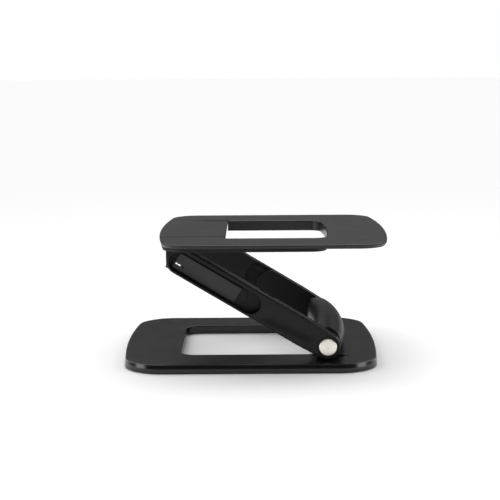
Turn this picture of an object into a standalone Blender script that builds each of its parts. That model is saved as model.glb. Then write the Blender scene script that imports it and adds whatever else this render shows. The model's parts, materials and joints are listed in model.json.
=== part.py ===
"""Standing desk converter: a platform held level over a weighted base by one wide swinging arm.

+X runs from the free end of the base to the hub end, +Y runs away from the user, +Z is up.
The origin is on the desk, under the centre of the whole object at rest.
"""
from math import acos, asin, atan2, cos, degrees, hypot, pi, radians, sin, sqrt

import bmesh
import bpy
from mathutils import Vector

MM = 0.001
GAP = 0.3                 # clearance between neighbouring solids, mm
CREASE_ANGLE = 35.0       # edges sharper than this are shaded flat

# Driving dimensions, mm and degrees
BASE_ENDS = (-280.0, 280.0)   # low and high X, over the bowed ends
BASE_HALF_DEPTH = 254.0
BASE_TOP = 20.0           # height of the base's upper face over the desk
BASE_BOW = 18.0           # how far each end bows out
BASE_CORNER = 74.0
FOOT_HEIGHT = 2.0

PLATFORM_HALF_LENGTH = 251.0
PLATFORM_HALF_DEPTH = 259.0
PLATFORM_BOW = 21.5
PLATFORM_CORNER = 50.0
PLATFORM_THICKNESS = 9.0
PLATFORM_UNDERCUT = 3.5   # how far the rim slopes in towards its lower edge
PLATFORM_RISE = 38.8      # upper face over the upper pivot
PLATFORM_OFFSET = 197.4   # centre of the platform past the upper pivot, along X

ARM_REACH = 363.0         # lower pivot to upper pivot
ARM_HALF = 29.5           # half height of each side of the arm, and its upper round end
ARM_END_RADIUS = 27.4     # lower round end
ARM_TAPER = 60.0          # length over which the arm narrows to its lower end
ARM_ROUND = 3.5           # rounding of the outer edges
ARM_OUTER = 217.0         # outer faces of the arm, from the middle plane
ARM_INNER = 179.0         # inner faces of the arm
ARM_ANGLE = 31.0          # arm over the horizontal at rest
PIVOT_X = 163.5           # lower pivot, from the base's centre
PIVOT_Z = 47.7
LINK_OFFSET = 16.0        # pin to pivot distance of the levelling linkage
LINK_LEAN = 30.0          # lean of that offset from the vertical, towards +X

# Layers of the arm, measured out from the middle plane
SHELL_INNER = 197.0
CORE_OUTER = SHELL_INNER - GAP
CORE_INNER = CORE_OUTER - 5.0
LINK_OUTER = 190.0
LINK_INNER = 184.0
COVER_OUTER = CORE_INNER - GAP
HUB_END = 176.0

SHAFT_RADIUS = 7.0
UPPER_SHAFT_RADIUS = 6.0
PIN_RADIUS = 3.0
CAP_RADIUS = 19.0

overhang = PIVOT_X - ARM_REACH * cos(radians(ARM_ANGLE)) + PLATFORM_OFFSET + PLATFORM_HALF_LENGTH
CENTRE_SHIFT = -(overhang + BASE_ENDS[0]) / 2

for old in list(bpy.data.objects):
    bpy.data.objects.remove(old, do_unlink=True)


# Materials

def finish(name, color, roughness, metallic=0.0):
    made = bpy.data.materials.new(name)
    made.use_nodes = True
    shader = made.node_tree.nodes["Principled BSDF"]
    shader.inputs["Base Color"].default_value = (*color, 1.0)
    shader.inputs["Roughness"].default_value = roughness
    shader.inputs["Metallic"].default_value = metallic
    return made


FINISHES = {
    "base_black": finish("base_black", (0.022, 0.022, 0.024), 0.38),
    "platform_black": finish("platform_black", (0.03, 0.03, 0.032), 0.36),
    "arm_black": finish("arm_black", (0.016, 0.016, 0.018), 0.34),
    "frame_black": finish("frame_black", (0.02, 0.02, 0.02), 0.5),
    "channel_grey": finish("channel_grey", (0.045, 0.045, 0.047), 0.5),
    "turned_steel": finish("turned_steel", (0.62, 0.6, 0.57), 0.28, 1.0),
    "plain_steel": finish("plain_steel", (0.42, 0.42, 0.43), 0.4, 1.0),
    "spring_steel": finish("spring_steel", (0.2, 0.2, 0.21), 0.35, 1.0),
    "bronze": finish("bronze", (0.52, 0.36, 0.17), 0.4, 1.0),
    "foot_rubber": finish("foot_rubber", (0.02, 0.02, 0.02), 0.85),
}


# Frames that the pieces hang on

def make_frame(name, parent=None, x=0.0, z=0.0, turn=0.0):
    empty = bpy.data.objects.new(name, None)
    bpy.context.collection.objects.link(empty)
    empty.parent = parent
    empty.location = (x * MM, 0.0, z * MM)
    empty.rotation_euler = (0.0, radians(turn), 0.0)
    return empty


arm_tip = Vector((-ARM_REACH * cos(radians(ARM_ANGLE)), ARM_REACH * sin(radians(ARM_ANGLE))))
link_step = Vector((LINK_OFFSET * sin(radians(LINK_LEAN)), LINK_OFFSET * cos(radians(LINK_LEAN))))
converter = make_frame("converter", x=CENTRE_SHIFT)
hub = make_frame("hub_frame", converter, PIVOT_X, PIVOT_Z)
arm = make_frame("arm_frame", converter, PIVOT_X, PIVOT_Z, ARM_ANGLE)
link = make_frame("link_frame", converter, PIVOT_X + link_step.x, PIVOT_Z + link_step.y, ARM_ANGLE)
tray = make_frame("platform_frame", converter, PIVOT_X + arm_tip.x, PIVOT_Z + arm_tip.y)


# Shape tools. Outlines are lists of points in mm.

def arc(cx, cy, radius, start, end, steps):
    turns = [radians(start + (end - start) * k / steps) for k in range(steps + 1)]
    return [(cx + radius * cos(a), cy + radius * sin(a)) for a in turns]


def circle(radius, steps=24, cx=0.0, cy=0.0):
    return arc(cx, cy, radius, 0, 360, steps)[:-1]


def slot(x0, x1, radius, steps=10, cy=0.0):
    return arc(x0, cy, radius, 90, 270, steps) + arc(x1, cy, radius, -90, 90, steps)


def rectangle(x0, x1, y0, y1):
    return [(x0, y0), (x1, y0), (x1, y1), (x0, y1)]


def bowed_outline(ends, half_y, bows, corners, grow=0.0, corner_steps=8, side_steps=8):
    """Rounded rectangle whose short ends bow out; `grow` moves the whole edge outwards.

    `ends`, `bows` and `corners` each give the value at the low X end, then at the high X end.
    """
    half_y += grow
    sides = [ends[0] + bows[0] - grow, ends[1] - bows[1] + grow]
    radii = [corner + grow for corner in corners]
    flats = [sides[0] + radii[0], sides[1] - radii[1]]
    points = []
    for quarter, (end, sy) in enumerate(((1, 1), (0, 1), (0, -1), (1, -1))):
        start = 90 * quarter
        flat_y = sy * (half_y - radii[end])
        points += arc(flats[end], flat_y, radii[end], start, start + 90, corner_steps)
        for k in range(1, side_steps):
            along = k / side_steps
            if quarter % 2 == 0:
                points.append((flats[end] + (flats[1 - end] - flats[end]) * along, sy * half_y))
            else:
                points.append((sides[end], flat_y * (1 - 2 * along)))
    middle = (sides[0] + sides[1]) / 2
    half_x = (sides[1] - sides[0]) / 2
    bowed = []
    for x, y in points:
        out = (x - middle) / half_x
        bowed.append((x + bows[out > 0] * out * (1 - (y / half_y) ** 2), y))
    return bowed


def place(name, mesh_maker, material, parent):
    """Object from a bmesh, closed and facing outwards, in its parent's frame."""
    mesh_maker.normal_update()
    bmesh.ops.recalc_face_normals(mesh_maker, faces=mesh_maker.faces)
    bmesh.ops.scale(mesh_maker, vec=(MM, MM, MM), verts=mesh_maker.verts)
    data = bpy.data.meshes.new(name)
    mesh_maker.to_mesh(data)
    mesh_maker.free()
    made = bpy.data.objects.new(name, data)
    bpy.context.collection.objects.link(made)
    made.parent = parent
    if material:
        data.materials.append(FINISHES[material])
    data.shade_smooth()
    data.set_sharp_from_angle(angle=radians(CREASE_ANGLE))
    return made


def add_prism(shape, outline, low, high, axis="Y"):
    """Adds an outline extruded along Y (points are X, Z) or along Z (points are X, Y)."""
    def spot(point, level):
        return (point[0], level, point[1]) if axis == "Y" else (point[0], point[1], level)
    rings = [[shape.verts.new(spot(p, level)) for p in outline] for level in (low, high)]
    shape.faces.new(rings[0])
    shape.faces.new(rings[1])
    for k in range(len(outline)):
        n = (k + 1) % len(outline)
        shape.faces.new((rings[0][k], rings[0][n], rings[1][n], rings[1][k]))


def prism(name, outline, low, high, material, parent, axis="Y"):
    shape = bmesh.new()
    add_prism(shape, outline, min(low, high), max(low, high), axis)
    return place(name, shape, material, parent)


def loft(name, rings, material, parent, closed=False):
    """Skin over rings of equal length; `closed` joins the last ring to the first."""
    shape = bmesh.new()
    loops = [[shape.verts.new(p) for p in ring] for ring in rings]
    pairs = list(zip(loops, loops[1:])) + ([(loops[-1], loops[0])] if closed else [])
    for a, b in pairs:
        for k in range(len(a)):
            n = (k + 1) % len(a)
            shape.faces.new((a[k], a[n], b[n], b[k]))
    if not closed:
        shape.faces.new(loops[0])
        shape.faces.new(loops[-1])
    return place(name, shape, material, parent)


def cut(target, cutter):
    """Cuts a hidden tool out of the target."""
    cutter.hide_render = True
    cutter.display_type = "WIRE"
    step = target.modifiers.new("cut_" + cutter.name, "BOOLEAN")
    step.operation = "DIFFERENCE"
    step.solver = "EXACT"
    step.object = cutter
    return target


def join(target, tool):
    tool.hide_render = True
    tool.display_type = "WIRE"
    step = target.modifiers.new("join_" + tool.name, "BOOLEAN")
    step.operation = "UNION"
    step.solver = "EXACT"
    step.object = tool
    return target


def tool_prism(name, outline, low, high, parent, axis="Y"):
    return prism("tool_" + name, outline, low, high, None, parent, axis)


def screws(name, spots, radius, low, high, parent):
    """Upright screw heads, one object each, numbered from 1."""
    for number, (x, y) in enumerate(spots, 1):
        prism(f"{name}_{number}", circle(radius, 12, x, y), low, high, "plain_steel", parent, "Z")


SIDES = (("near", -1), ("far", 1))


# Base

BASE_HOLE_ENDS = (-152.0, 146.0)        # the opening through the base
BASE_HOLE_HALF = 155.0
BASE_HOLE_CORNER = 30.0
SHELL_WALL = 2.5
WEIGHT_THICKNESS = 3.0
WEIGHT_INSET = 4.0
FOOT_RADIUS = 15.0
FEET = (("near_left", -185.0, -205.0), ("far_left", -185.0, 205.0),
        ("near_right", 195.0, -205.0), ("far_right", 195.0, 205.0))


def plate_with_hole(name, edge, hole, section, material, parent):
    """Skins a ring whose cross-section is a list of (which edge, grow, height)."""
    rings = []
    for which, grow, height in section:
        outline = edge(grow) if which == "edge" else hole(grow)
        rings.append([(x, y, height) for x, y in outline])
    return loft(name, rings, material, parent, closed=True)


def base_edge(grow=0.0):
    return bowed_outline(BASE_ENDS, BASE_HALF_DEPTH, (BASE_BOW, BASE_BOW), (BASE_CORNER, BASE_CORNER), grow)


def base_hole(grow=0.0):
    corners = (BASE_HOLE_CORNER, BASE_HOLE_CORNER)
    return bowed_outline(BASE_HOLE_ENDS, BASE_HOLE_HALF, (0.0, 0.0), corners, grow)


def make_base():
    top = BASE_TOP
    section = [
        ("edge", 0.0, FOOT_HEIGHT), ("edge", 0.0, top - 3.5), ("edge", -1.0, top - 1.0),
        ("edge", -3.5, top), ("hole", 2.0, top), ("hole", 0.0, top - 1.5), ("hole", 0.0, FOOT_HEIGHT),
        ("hole", SHELL_WALL, FOOT_HEIGHT), ("hole", SHELL_WALL, top - SHELL_WALL),
        ("edge", -5.0, top - SHELL_WALL), ("edge", -SHELL_WALL, FOOT_HEIGHT),
    ]
    plate_with_hole("base_cover", base_edge, base_hole, section, "base_black", converter)

    plate_low = FOOT_HEIGHT + 1.5
    plate_high = plate_low + WEIGHT_THICKNESS
    section = [("edge", -WEIGHT_INSET, plate_low), ("edge", -WEIGHT_INSET, plate_high),
               ("hole", WEIGHT_INSET, plate_high), ("hole", WEIGHT_INSET, plate_low)]
    plate_with_hole("base_weight_plate", base_edge, base_hole, section, "plain_steel", converter)

    for name, x, y in FEET:
        foot = circle(FOOT_RADIUS, 24, x, y)
        prism("rubber_foot_" + name, foot, 0.0, plate_low - GAP, "foot_rubber", converter, "Z")


# Hub: the drum between the two sides of the arm, which stands on the base

HUB_MID_RADIUS = 47.0
HUB_LEFT = 28.5            # the side towards the opening is upright, without a bulge
HUB_LEFT_LOW = 33.0
HUB_END_RIGHT = 29.0
HUB_END_TOP = 35.5
HUB_SQUARENESS = 3.0       # added to the exponent 2 of an ellipse
HUB_WALL = 3.0
FLOOR_LOW = BASE_TOP + GAP - PIVOT_Z
FLOOR_HIGH = FLOOR_LOW + 2.4
FLOOR_ENDS = (-17.0, 50.0)
FLOOR_BOWS = (0.0, 4.0)
FLOOR_CORNERS = (4.0, 14.0)
HUB_SCREW_X = 12.0
HUB_SCREW_Y = (-130.0, -45.0, 45.0, 130.0)
SCREW_RADIUS = 4.0
SCREW_HEIGHT = 2.5
STAND_RADIUS = 13.0
STAND_INNER = 148.0
STAND_OUTER = 162.0
BUSH_WALL = 2.0


def drum_ring(y, share, shrink, steps=40):
    """One ring of the drum; `share` is 0 at its middle and 1 at its ends."""
    right = HUB_MID_RADIUS + (HUB_END_RIGHT - HUB_MID_RADIUS) * share - shrink
    top = HUB_MID_RADIUS + (HUB_END_TOP - HUB_MID_RADIUS) * share - shrink
    ring = []
    for k in range(steps):
        across, up = cos(2 * pi * k / steps), sin(2 * pi * k / steps)
        if across >= 0:
            ring.append((right * across, y, top * up))
        elif up < 0:
            ring.append(((HUB_LEFT - shrink) * across, y, (HUB_LEFT_LOW - shrink) * up))
        else:
            power = 2 / (2 + HUB_SQUARENESS * share)
            ring.append((-(HUB_LEFT - shrink) * abs(across) ** power, y, top * up ** power))
    return ring


def drum_rings(end, shrink, stations=12):
    places = [end * (2 * k / stations - 1) for k in range(stations + 1)]
    return [drum_ring(y, (y / HUB_END) ** 2, shrink) for y in places]


def make_hub():
    cover = loft("hub_cover", drum_rings(HUB_END, 0.0), "base_black", hub)
    cut(cover, loft("tool_drum_room", drum_rings(HUB_END - HUB_WALL, HUB_WALL), None, hub))
    below = rectangle(-70.0, 70.0, -70.0, FLOOR_HIGH + GAP)
    cut(cover, tool_prism("drum_below", below, -200.0, 200.0, hub))
    cut(cover, tool_prism("drum_shaft_hole", circle(SHAFT_RADIUS + 1.0), -200.0, 200.0, hub))
    pin_hole = circle(PIN_RADIUS + GAP, 16, link_step.x, link_step.y)
    cut(cover, tool_prism("drum_pin_hole", pin_hole, -200.0, 200.0, hub))

    floor_edge = bowed_outline(FLOOR_ENDS, HUB_END - 2.0, FLOOR_BOWS, FLOOR_CORNERS)
    prism("hub_floor", floor_edge, FLOOR_LOW, FLOOR_HIGH, "base_black", hub, "Z")
    foot = FLOOR_HIGH + GAP
    spots = [(HUB_SCREW_X, y) for y in HUB_SCREW_Y]
    screws("hub_screw", spots, SCREW_RADIUS, foot, foot + SCREW_HEIGHT, hub)
    stand = [(-STAND_RADIUS, foot), (STAND_RADIUS, foot)] + arc(0.0, 0.0, STAND_RADIUS, 0, 180, 12)
    for side, sign in SIDES:
        block = prism("shaft_stand_" + side, stand, sign * STAND_INNER, sign * STAND_OUTER,
                      "plain_steel", hub)
        bore = circle(SHAFT_RADIUS + BUSH_WALL + GAP)
        cut(block, tool_prism("stand_bore_" + side, bore, sign * 140.0, sign * 170.0, hub))
        bush = prism("shaft_bush_" + side, circle(SHAFT_RADIUS + BUSH_WALL), sign * (STAND_INNER - 1.0),
                     sign * (STAND_OUTER + 1.0), "bronze", hub)
        bore = circle(SHAFT_RADIUS + GAP)
        cut(bush, tool_prism("bush_bore_" + side, bore, sign * 140.0, sign * 170.0, hub))
        pin = circle(PIN_RADIUS, 16, link_step.x, link_step.y)
        prism("base_link_pin_" + side, pin, sign * 168.0, sign * (LINK_OUTER + 0.5), "plain_steel", hub)
        make_spring(side, sign)


def make_spring(side, sign, turns=7, steps=14, wire=1.8, radius=13.0, low=70.0, high=125.0):
    """Torsion spring round the shaft, which carries part of the load."""
    rings = []
    for k in range(turns * steps + 1):
        share = k / (turns * steps)
        turn = 2 * pi * turns * share
        rise = (high - low) / (2 * pi * turns)
        out = Vector((cos(turn), 0.0, sin(turn)))
        run = Vector((-sin(turn) * radius, rise, cos(turn) * radius)).normalized()
        up = run.cross(out)
        centre = out * radius + Vector((0.0, low + (high - low) * share, 0.0))
        ring = []
        for j in range(6):
            a = 2 * pi * j / 6
            point = centre + out * (wire * cos(a)) + up * (wire * sin(a))
            ring.append((point.x, point.y * sign, point.z))
        rings.append(ring)
    loft("torsion_spring_" + side, rings, "spring_steel", hub)


# Arm. Its own frame has the lower pivot at the origin and the upper pivot at -X.

WINDOW_END = -189.0        # centre of the window's lower round end
WINDOW_RADIUS = 22.0
WINDOW_MIDDLE = -2.5       # height of the window's middle line
PLATE_END = -220.0         # lower end of the channel plate
LINER_END = -200.0         # lower end of the channel liner
NOSE = -168.0              # tip of the lower inner cover
UPPER_COVER_END = -187.0
COVER_WALL = 3.0
JOINT_ROOM = 23.5          # opening round each pivot for the linkage
SIGHT_SLOT = -10.6         # height of the slot under the upper pivot
CORE_SQUARE = 20.0         # how far the core's square corner reaches past the upper pivot
CAP_DEPTH = 3.0
CAP_PROUD = 1.8


def arm_outline(tip, grow=0.0, steps=14):
    """Round-ended side of the arm from `tip`, the centre of its upper end, to the lower pivot."""
    half = ARM_HALF + grow
    end = ARM_END_RADIUS + grow
    turn = degrees(pi - atan2(half, ARM_TAPER) - acos(end / hypot(ARM_TAPER, half)))
    points = arc(tip, 0.0, half, 90, 270, steps) + [(-ARM_TAPER, -half)]
    return points + arc(0.0, 0.0, end, -turn, turn, steps) + [(-ARM_TAPER, half)]


def make_arm_side(side, sign):
    rings = []
    for grow, y in ((0.0, SHELL_INNER), (0.0, ARM_OUTER - ARM_ROUND),
                    (-0.3 * ARM_ROUND, ARM_OUTER - 0.3 * ARM_ROUND), (-ARM_ROUND, ARM_OUTER)):
        rings.append([(x, sign * y, z) for x, z in arm_outline(-ARM_REACH, grow)])
    shell = loft("arm_shell_" + side, rings, "arm_black", arm)
    window = slot(-ARM_REACH, WINDOW_END, WINDOW_RADIUS, 10, WINDOW_MIDDLE)
    cut(shell, tool_prism("window_" + side, window, sign * 190.0, sign * 225.0, arm))
    room_half = ARM_END_RADIUS - COVER_WALL
    room = rectangle(WINDOW_END + WINDOW_RADIUS + 4.0, -ARM_END_RADIUS, -room_half, room_half)
    cut(shell, tool_prism("shell_room_" + side, room, sign * 190.0, sign * (ARM_OUTER - 4.0), arm))
    seat = circle(CAP_RADIUS + 1.2, 32)
    cut(shell, tool_prism("cap_seat_" + side, seat, sign * (ARM_OUTER - CAP_DEPTH), sign * 225.0, arm))
    bore = circle(SHAFT_RADIUS + GAP)
    cut(shell, tool_prism("shell_bore_" + side, bore, sign * 190.0, sign * 225.0, arm))

    cap = circle(CAP_RADIUS, 32)
    prism("pivot_cap_" + side, cap, sign * (ARM_OUTER - CAP_DEPTH + GAP), sign * (ARM_OUTER + CAP_PROUD),
          "turned_steel", arm)

    upper_start = 180 + degrees(acos(CORE_SQUARE / ARM_HALF))
    core_edge = arc(-ARM_REACH, 0.0, ARM_HALF, 90, upper_start, 12)
    core_edge += [(-ARM_REACH - CORE_SQUARE, -ARM_HALF)] + arm_outline(-ARM_REACH)[15:]
    core = prism("arm_core_" + side, core_edge, sign * CORE_INNER, sign * CORE_OUTER,
                 "frame_black", arm)
    cut(core, tool_prism("core_bore_" + side, circle(SHAFT_RADIUS + GAP), sign * 185.0, sign * 200.0, arm))
    seat = circle(UPPER_SHAFT_RADIUS + 1.5 + GAP, 24, -ARM_REACH)
    cut(core, tool_prism("core_seat_" + side, seat, sign * 185.0, sign * 200.0, arm))
    cut(core, sight_tool("core", side, sign))

    bush = prism("upper_bush_" + side, circle(UPPER_SHAFT_RADIUS + 1.5, 24, -ARM_REACH),
                 sign * (CORE_INNER - 1.0), sign * (CORE_OUTER + 0.1), "bronze", arm)
    bore = circle(UPPER_SHAFT_RADIUS + GAP, 24, -ARM_REACH)
    cut(bush, tool_prism("upper_bush_bore_" + side, bore, sign * 185.0, sign * 200.0, arm))

    make_channel(side, sign)
    make_inner_covers(side, sign)


def sight_tool(name, side, sign):
    """Slot through which the linkage can be seen, under the upper pivot."""
    sight = slot(-ARM_REACH - 4.0, -ARM_REACH + 5.0, 2.5, 6, SIGHT_SLOT)
    return tool_prism(f"{name}_sight_{side}", sight, sign * 185.0, sign * 210.0, arm)


def make_channel(side, sign):
    """The plate and the liner under it, at the bottom of the window."""
    half = 17.5
    low_v, high_v = WINDOW_MIDDLE - half, WINDOW_MIDDLE + half
    upper = -ARM_REACH + 26.0
    liner = [(upper, low_v), (LINER_END - half, low_v)]
    liner += arc(LINER_END - half, WINDOW_MIDDLE, half, -90, 90, 10)[1:]
    liner += [(upper, high_v)]
    low = SHELL_INNER + GAP
    prism("channel_liner_" + side, liner, sign * low, sign * (low + 2.5), "frame_black", arm)
    plate_edge = [(-ARM_REACH - 9.0, WINDOW_MIDDLE - 18.0), (PLATE_END, WINDOW_MIDDLE - 18.0),
                  (PLATE_END, WINDOW_MIDDLE + 16.0), (-ARM_REACH - 6.0, WINDOW_MIDDLE + 16.0)]
    high = low + 2.5 + GAP
    plate = prism("channel_plate_" + side, plate_edge, sign * high, sign * (high + 2.5),
                  "channel_grey", arm)
    cut(plate, sight_tool("plate", side, sign))


def make_inner_covers(side, sign):
    lower = arm_outline(NOSE + ARM_HALF)
    cover = prism("arm_lower_cover_" + side, lower, sign * ARM_INNER, sign * COVER_OUTER,
                  "arm_black", arm)
    inside = ARM_INNER + COVER_WALL
    room = rectangle(-200.0, 60.0, -JOINT_ROOM, JOINT_ROOM)
    cut(cover, tool_prism("lower_room_" + side, room, sign * inside, sign * 195.0, arm))
    mouth = circle(JOINT_ROOM, 28)
    cut(cover, tool_prism("lower_mouth_" + side, mouth, sign * 170.0, sign * 190.0, arm))

    upper = arc(-ARM_REACH, 0.0, ARM_HALF, 90, 270, 14)
    upper += arc(UPPER_COVER_END + ARM_HALF, 0.0, ARM_HALF * sqrt(2), 225, 135, 10)
    cover = prism("arm_upper_cover_" + side, upper, sign * ARM_INNER, sign * COVER_OUTER,
                  "arm_black", arm)
    room = rectangle(-ARM_REACH - 60.0, -100.0, -JOINT_ROOM, JOINT_ROOM)
    cut(cover, tool_prism("upper_room_" + side, room, sign * inside, sign * 195.0, arm))
    mouth = circle(JOINT_ROOM, 28, -ARM_REACH)
    cut(cover, tool_prism("upper_mouth_" + side, mouth, sign * 170.0, sign * 190.0, arm))


def make_arm():
    for side, sign in SIDES:
        make_arm_side(side, sign)
        collar = prism("shaft_collar_" + side, circle(11.0), sign * 130.0, sign * 142.0,
                       "plain_steel", arm)
        bore = circle(SHAFT_RADIUS + GAP)
        cut(collar, tool_prism("collar_bore_" + side, bore, sign * 120.0, sign * 150.0, arm))
        discs = prism("friction_disc_" + side, circle(12.0), sign * 164.0, sign * 171.5,
                      "spring_steel", arm)
        cut(discs, tool_prism("disc_bore_" + side, bore, sign * 160.0, sign * 180.0, arm))
    prism("pivot_shaft", circle(SHAFT_RADIUS), -(ARM_OUTER - 3.4), ARM_OUTER - 3.4, "plain_steel", arm)


# Levelling links

def make_link(side, sign):
    eye, half = 6.0, 4.5
    dip = asin(half / eye) * 180 / pi
    bar = [(x - ARM_REACH, y) for x, y in arc(0.0, 0.0, eye, dip, 360 - dip, 14)]
    bar += arc(0.0, 0.0, eye, 180 + dip, 540 - dip, 14)
    made = prism("level_link_" + side, bar, sign * LINK_INNER, sign * LINK_OUTER, "frame_black", link)
    for name, x, room in (("lower", 0.0, GAP), ("upper", -ARM_REACH, 1.2)):
        bore = circle(PIN_RADIUS + room, 20, x)
        cut(made, tool_prism("link_" + name + "_bore_" + side, bore, sign * 180.0, sign * 195.0, link))


# Platform. Its own frame has the upper pivot at the origin.

PLATFORM_HOLE_ENDS = (-103.3, 120.5)     # from the middle of the platform
PLATFORM_HOLE_HALF = 150.0
PLATFORM_HOLE_BOWS = (0.0, 9.0)
PLATFORM_HOLE_CORNERS = (1.5, 25.0)
PLATE_SKIN = 6.0
COLLAR_DEPTH = 24.0        # of the collar round the opening, under the upper face
COLLAR_WALL = 3.0
DISH_DEPTH = 2.2
DISH_SIDES = (-126.0, 158.0)
RAIL_INNER = 222.0
RAIL_END = 110.0
RAIL_CORNER = 34.0
RAIL_DROP = 15.0
RAIL_INSET = 3.0
BAR_WIDTH = 19.0
BAR_CORNER = 15.0
LUG_ENDS = (-32.0, 28.0)
LUG_LOW = -14.5            # lower end of the lug's left face
LUG_RADIUS = 11.5
LUG_INNER = 162.0
FLANGE = 4.0
SCREW_SPOTS = ((-20.0, -140.0), (-20.0, 140.0), (16.0, -140.0), (16.0, 140.0))


def platform_edge(grow=0.0):
    ends = (PLATFORM_OFFSET - PLATFORM_HALF_LENGTH, PLATFORM_OFFSET + PLATFORM_HALF_LENGTH)
    bows = (PLATFORM_BOW, PLATFORM_BOW)
    return bowed_outline(ends, PLATFORM_HALF_DEPTH, bows, (PLATFORM_CORNER, PLATFORM_CORNER), grow)


def platform_hole(grow=0.0):
    ends = [PLATFORM_OFFSET + x for x in PLATFORM_HOLE_ENDS]
    return bowed_outline(ends, PLATFORM_HOLE_HALF, PLATFORM_HOLE_BOWS, PLATFORM_HOLE_CORNERS, grow)


def make_platform():
    top = PLATFORM_RISE
    under = top - PLATFORM_THICKNESS
    skin = top - PLATE_SKIN
    collar = top - COLLAR_DEPTH
    section = [
        ("edge", -PLATFORM_UNDERCUT, under), ("edge", 0.0, top - 2.4), ("edge", -0.8, top - 0.6),
        ("edge", -2.6, top), ("hole", 3.0, top), ("hole", 0.9, top - 0.8), ("hole", 0.0, top - 2.8),
        ("hole", 0.0, collar), ("hole", COLLAR_WALL, collar), ("hole", COLLAR_WALL, skin),
        ("edge", -PLATFORM_UNDERCUT - 4.0, skin), ("edge", -PLATFORM_UNDERCUT - 3.0, under),
    ]
    plate = plate_with_hole("platform_top", platform_edge, platform_hole, section,
                            "platform_black", tray)
    hole_low = PLATFORM_OFFSET + PLATFORM_HOLE_ENDS[0]
    dish_end = hole_low + 5.0
    dish_start = PLATFORM_OFFSET - PLATFORM_HALF_LENGTH + 4.0
    dish = [(dish_start, top + 0.05), (dish_end, top - DISH_DEPTH), (dish_end, top + 9.0),
            (dish_start, top + 9.0)]
    cut(plate, tool_prism("dish", dish, *DISH_SIDES, tray))
    open_end = rectangle(hole_low - 9.0, hole_low + 0.1, collar - 5.0, skin - 0.1)
    cut(plate, tool_prism("open_end", open_end, -170.0, 170.0, tray))

    make_underframe(under - GAP)
    shaft = circle(UPPER_SHAFT_RADIUS)
    prism("upper_shaft", shaft, -(CORE_OUTER + 0.2), CORE_OUTER + 0.2, "plain_steel", tray)
    for side, sign in SIDES:
        make_bracket(side, sign, skin - GAP)
    high = skin - GAP - FLANGE - GAP
    screws("bracket_screw", SCREW_SPOTS, SCREW_RADIUS, high - SCREW_HEIGHT, high, tray)


def make_underframe(high):
    half = PLATFORM_HALF_DEPTH - RAIL_INSET
    end = PLATFORM_OFFSET + RAIL_END
    left = PLATFORM_OFFSET - PLATFORM_HALF_LENGTH
    edge = [(end, -RAIL_INNER)] + arc(end - RAIL_CORNER, -(half - RAIL_CORNER), RAIL_CORNER, 0, -90, 8)
    edge += [(x, y) for x, y in reversed(platform_edge(-RAIL_INSET)) if x < PLATFORM_OFFSET - 100.0]
    edge += arc(end - RAIL_CORNER, half - RAIL_CORNER, RAIL_CORNER, 90, 0, 8) + [(end, RAIL_INNER)]
    bar = left + BAR_WIDTH + BAR_CORNER
    edge += arc(bar, RAIL_INNER - BAR_CORNER, BAR_CORNER, 90, 180, 5)
    edge += arc(bar, -(RAIL_INNER - BAR_CORNER), BAR_CORNER, 180, 270, 5)
    prism("platform_underframe", edge, PLATFORM_RISE - RAIL_DROP, high, "frame_black", tray, "Z")


def make_bracket(side, sign, top):
    """Lug that hangs under the platform and turns on the upper pivot, with a screw flange."""
    outline = [(LUG_ENDS[0], top), (LUG_ENDS[0], LUG_LOW)] + arc(0.0, 0.0, LUG_RADIUS, 230, 325, 8)
    outline += [(LUG_ENDS[1], 6.0), (LUG_ENDS[1], top)]
    lug = prism("platform_bracket_" + side, outline, sign * LUG_INNER, sign * HUB_END, "arm_black", tray)
    flange = tool_prism("flange_" + side, rectangle(*LUG_ENDS, top - FLANGE, top), sign * 128.0,
                        sign * (LUG_INNER + 1.0), tray)
    join(lug, flange)
    bore = circle(UPPER_SHAFT_RADIUS + GAP)
    cut(lug, tool_prism("lug_bore_" + side, bore, sign * 120.0, sign * 190.0, tray))
    pin_bore = circle(PIN_RADIUS + GAP, 16, link_step.x, link_step.y)
    cut(lug, tool_prism("lug_pin_bore_" + side, pin_bore, sign * 120.0, sign * 190.0, tray))
    pin = circle(PIN_RADIUS, 16, link_step.x, link_step.y)
    prism("platform_link_pin_" + side, pin, sign * 158.0, sign * (LINK_OUTER + 0.5), "plain_steel", tray)
    clip = prism("shaft_clip_" + side, circle(UPPER_SHAFT_RADIUS + 4.0), sign * 156.0,
                 sign * (LUG_INNER - GAP), "spring_steel", tray)
    cut(clip, tool_prism("clip_bore_" + side, bore, sign * 150.0, sign * 170.0, tray))


make_base()
make_hub()
make_arm()
for link_side, link_sign in SIDES:
    make_link(link_side, link_sign)
make_platform()
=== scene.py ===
import json
from math import acos, atan2, cos, degrees, pi, radians, sin, sqrt

import bmesh
import bpy
from mathutils import Matrix, Vector


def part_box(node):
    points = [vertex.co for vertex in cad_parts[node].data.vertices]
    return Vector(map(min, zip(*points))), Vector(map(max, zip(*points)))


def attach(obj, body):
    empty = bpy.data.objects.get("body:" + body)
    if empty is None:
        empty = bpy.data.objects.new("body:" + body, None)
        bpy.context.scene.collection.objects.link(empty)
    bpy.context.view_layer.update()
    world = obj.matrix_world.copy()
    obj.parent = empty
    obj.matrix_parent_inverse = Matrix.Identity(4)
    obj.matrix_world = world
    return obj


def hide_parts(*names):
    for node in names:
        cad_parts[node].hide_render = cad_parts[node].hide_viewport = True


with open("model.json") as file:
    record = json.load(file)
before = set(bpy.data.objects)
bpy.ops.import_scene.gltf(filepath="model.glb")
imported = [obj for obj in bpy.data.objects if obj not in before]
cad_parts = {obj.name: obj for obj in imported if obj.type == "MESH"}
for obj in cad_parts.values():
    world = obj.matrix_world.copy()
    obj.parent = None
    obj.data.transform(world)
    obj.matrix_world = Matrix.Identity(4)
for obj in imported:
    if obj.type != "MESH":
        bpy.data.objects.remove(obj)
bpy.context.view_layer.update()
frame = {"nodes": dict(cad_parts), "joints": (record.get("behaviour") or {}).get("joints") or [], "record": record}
mm = 0.001

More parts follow.
